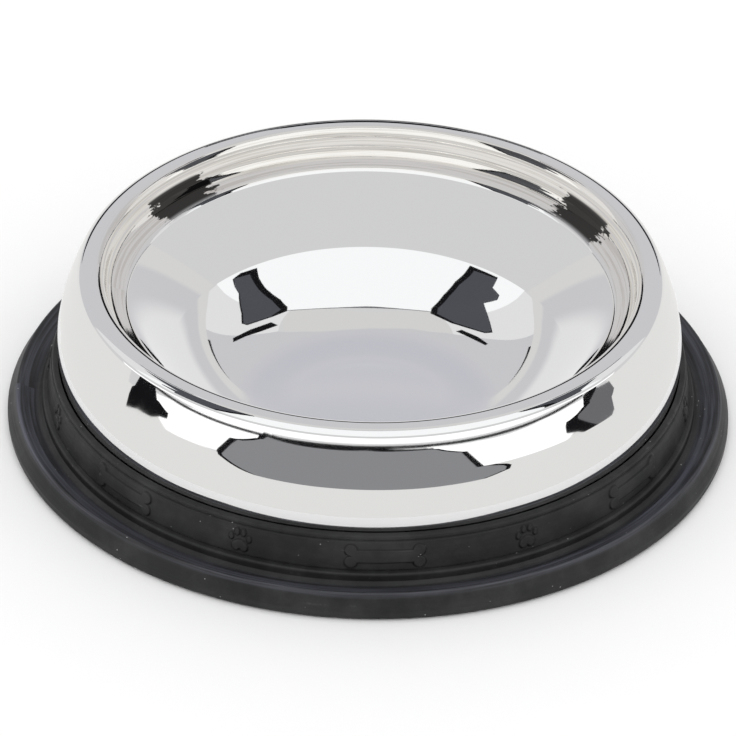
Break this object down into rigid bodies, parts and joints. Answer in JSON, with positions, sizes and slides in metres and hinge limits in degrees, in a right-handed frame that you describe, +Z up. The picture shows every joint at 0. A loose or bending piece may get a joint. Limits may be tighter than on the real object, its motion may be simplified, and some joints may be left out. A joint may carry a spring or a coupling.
{
  "type": "pet bowl",
  "caption": "Round steel pet bowl with a flared pan, rolled rim and full outer skirt, standing in a moulded non-slip rubber ring with a wide brim.",
  "frame": {"origin": "on the floor, under the middle of the bowl", "axes": "+Z up along the axis that the bowl is turned about, -Y towards the side that the picture shows as the front"},
  "size_m": [0.2, 0.2, 0.0475],
  "materials": {
    "rubber": "moulded, matt with a faint bloom",
    "steel": "mirror polished stainless steel, with fine turning lines in the cove under the rim"
  },
  "bodies": {
    "ring": {"rubber_ring": "rubber"},
    "bowl": {"steel_bowl": "steel"}
  },
  "joints": [
    {"name": "bowl_lift", "type": "slide", "parent": "ring", "child": "bowl", "axis": [0, 0, 1], "range_m": [0, 0.06]}
  ]
}
